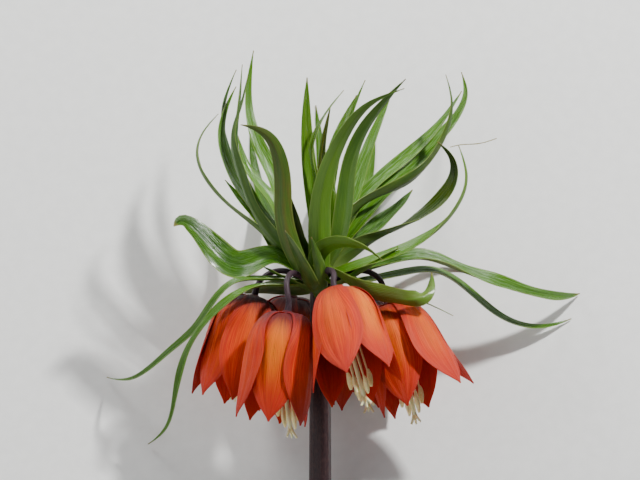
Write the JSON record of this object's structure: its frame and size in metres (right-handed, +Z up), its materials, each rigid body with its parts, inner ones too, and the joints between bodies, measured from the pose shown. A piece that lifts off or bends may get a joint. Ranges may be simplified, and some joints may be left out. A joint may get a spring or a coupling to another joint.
{
  "type": "crown imperial fritillary cut flower",
  "caption": "Cut flowering stem lying on its side, with a ring of hanging bells round its top and a tuft of strap leaves above them.",
  "frame": {"origin": "centre of the bounding box at the surface that the cut flower lies on", "axes": "+Z up from the surface, +Y along the surface from the stem's cut end towards the tips of the leaves, +X to the right as the head is seen from above"},
  "size_m": [0.223, 0.2788, 0.1235],
  "materials": {
    "stem": "dark purple-brown plant skin, faintly waxy",
    "leaf": "glossy fresh green leaf with fine parallel veins",
    "petal": "satin orange-red petal with fine darker veins",
    "stamen": "matt pale cream"
  },
  "bodies": {
    "root": {"stem": "stem", "leaf_crown": "leaf", "bell_1": "petal", "bell_2": "petal", "bell_3": "petal", "bell_4": "petal", "bell_5": "petal", "bell_6": "petal", "stamens_1": "stamen", "stamens_2": "stamen", "stamens_3": "stamen", "stamens_4": "stamen", "stamens_5": "stamen", "stamens_6": "stamen"}
  },
  "joints": []
}
